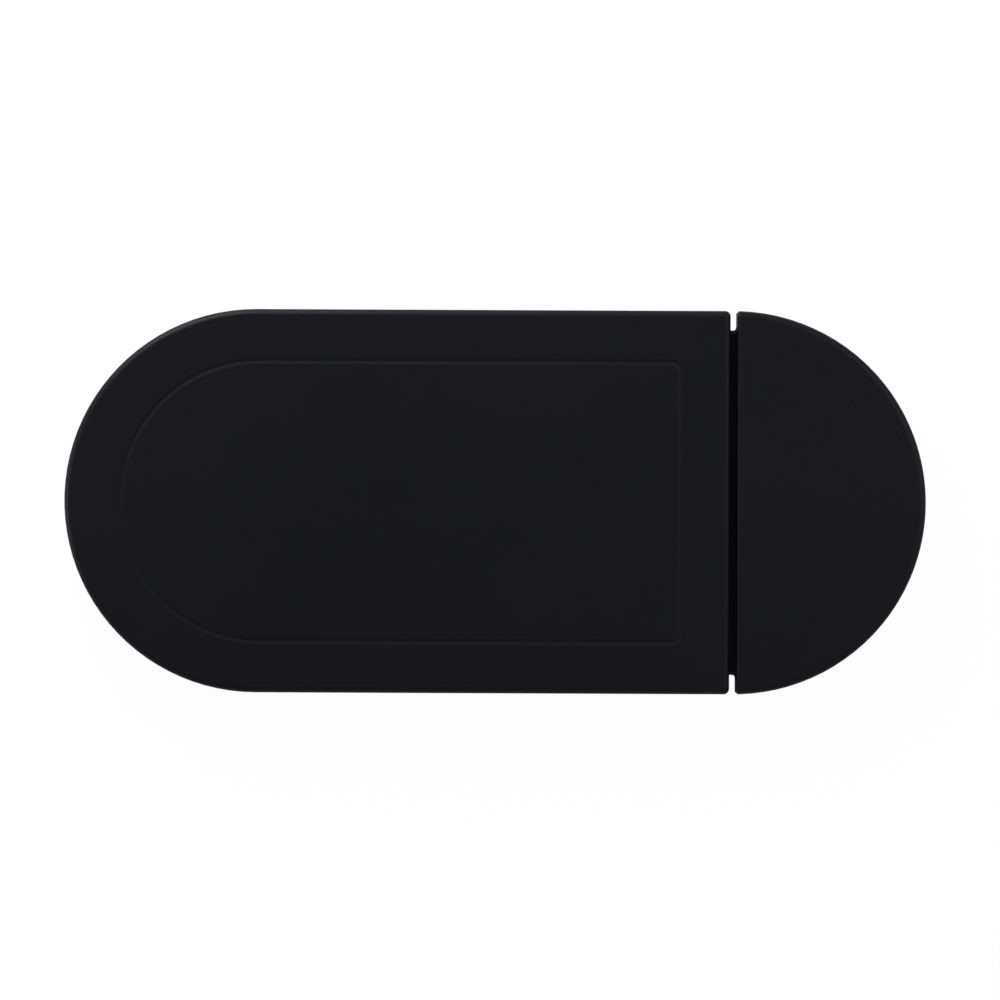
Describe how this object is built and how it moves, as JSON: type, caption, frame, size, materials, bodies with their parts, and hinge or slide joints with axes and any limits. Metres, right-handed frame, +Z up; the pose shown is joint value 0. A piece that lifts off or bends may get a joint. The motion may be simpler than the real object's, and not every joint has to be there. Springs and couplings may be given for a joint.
{
  "type": "webcam cover slider",
  "caption": "Flat stick-on webcam cover with round ends: a moulded base with an end cap and a camera window, and a cover that slides along it to bare the window.",
  "frame": {"origin": "centre of the closed part's outline, on the adhesive face that is stuck down", "axes": "+X along the part towards the end cap, +Y across it, +Z up from the surface it is stuck on"},
  "size_m": [0.04, 0.0178, 0.003],
  "materials": {
    "black_plastic": "fine matte moulded texture, black with a slight blue cast",
    "foam_tape": "white double-sided foam tape with a tacky face"
  },
  "bodies": {
    "base": {"base": "black_plastic", "adhesive_pad": "foam_tape"},
    "cover": {"slider_cover": "black_plastic"}
  },
  "joints": [
    {"name": "cover_slide", "type": "slide", "parent": "base", "child": "cover", "axis": [-1, 0, 0], "range_m": [0, 0.00855]}
  ]
}
